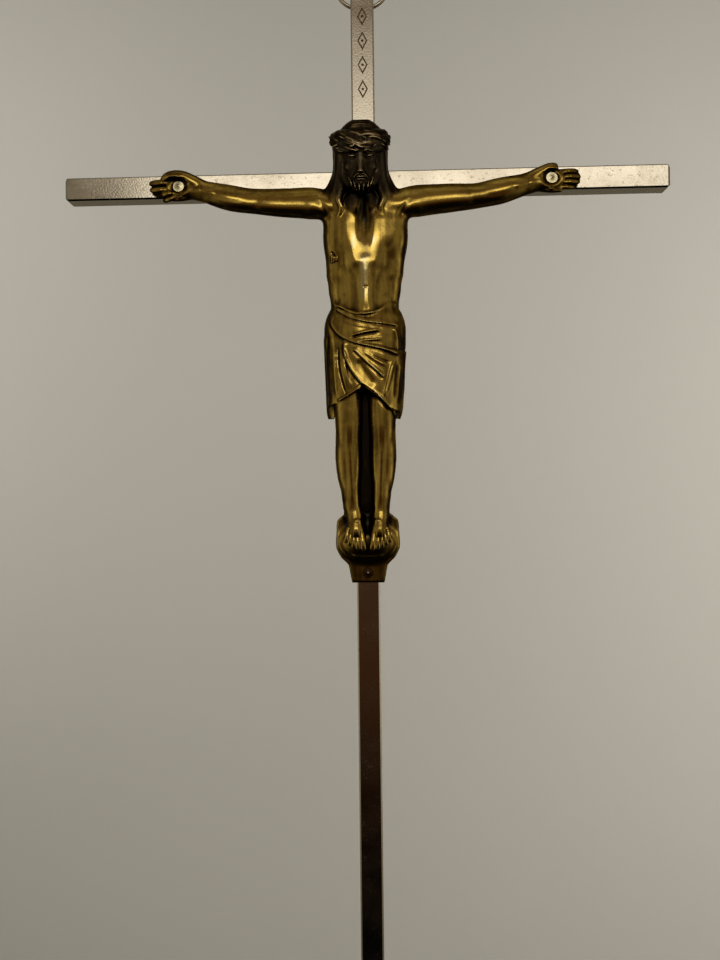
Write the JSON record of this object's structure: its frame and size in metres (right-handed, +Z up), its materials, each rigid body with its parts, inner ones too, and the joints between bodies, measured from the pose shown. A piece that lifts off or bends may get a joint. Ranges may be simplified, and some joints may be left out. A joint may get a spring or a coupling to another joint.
{
  "type": "crucifix",
  "caption": "Slim wall crucifix of half-lapped metal bars, with a riveted cast figure and a swinging ring on the back to hang it by.",
  "frame": {"origin": "on the crossbar's back face, at the middle of the crossing", "axes": "+Z up the upright, +X to the viewer's right along the crossbar, +Y out of the back towards the wall; the figure faces -Y"},
  "size_m": [0.1668, 0.0203, 0.305],
  "materials": {
    "bar_plating": "satin",
    "antique_brass": "polished highs over a dark patina",
    "rivet_brass": "satin",
    "foot_rivet_brass": "satin, toned brown",
    "ring_wire": "satin"
  },
  "bodies": {
    "cross": {"upright_bar": "bar_plating", "crossbar": "bar_plating", "corpus": "antique_brass", "hand_rivet_left": "rivet_brass", "hand_rivet_right": "rivet_brass", "foot_rivet": "foot_rivet_brass", "lap_joint_pin": "ring_wire", "ring_staple": "ring_wire"},
    "ring": {"hanging_ring": "ring_wire"}
  },
  "joints": [
    {"name": "ring_swing", "type": "hinge", "parent": "cross", "child": "ring", "pos_m": [0, 0.00105, 0.06715], "axis": [1, 0, 0], "range_deg": [0, 180]}
  ]
}
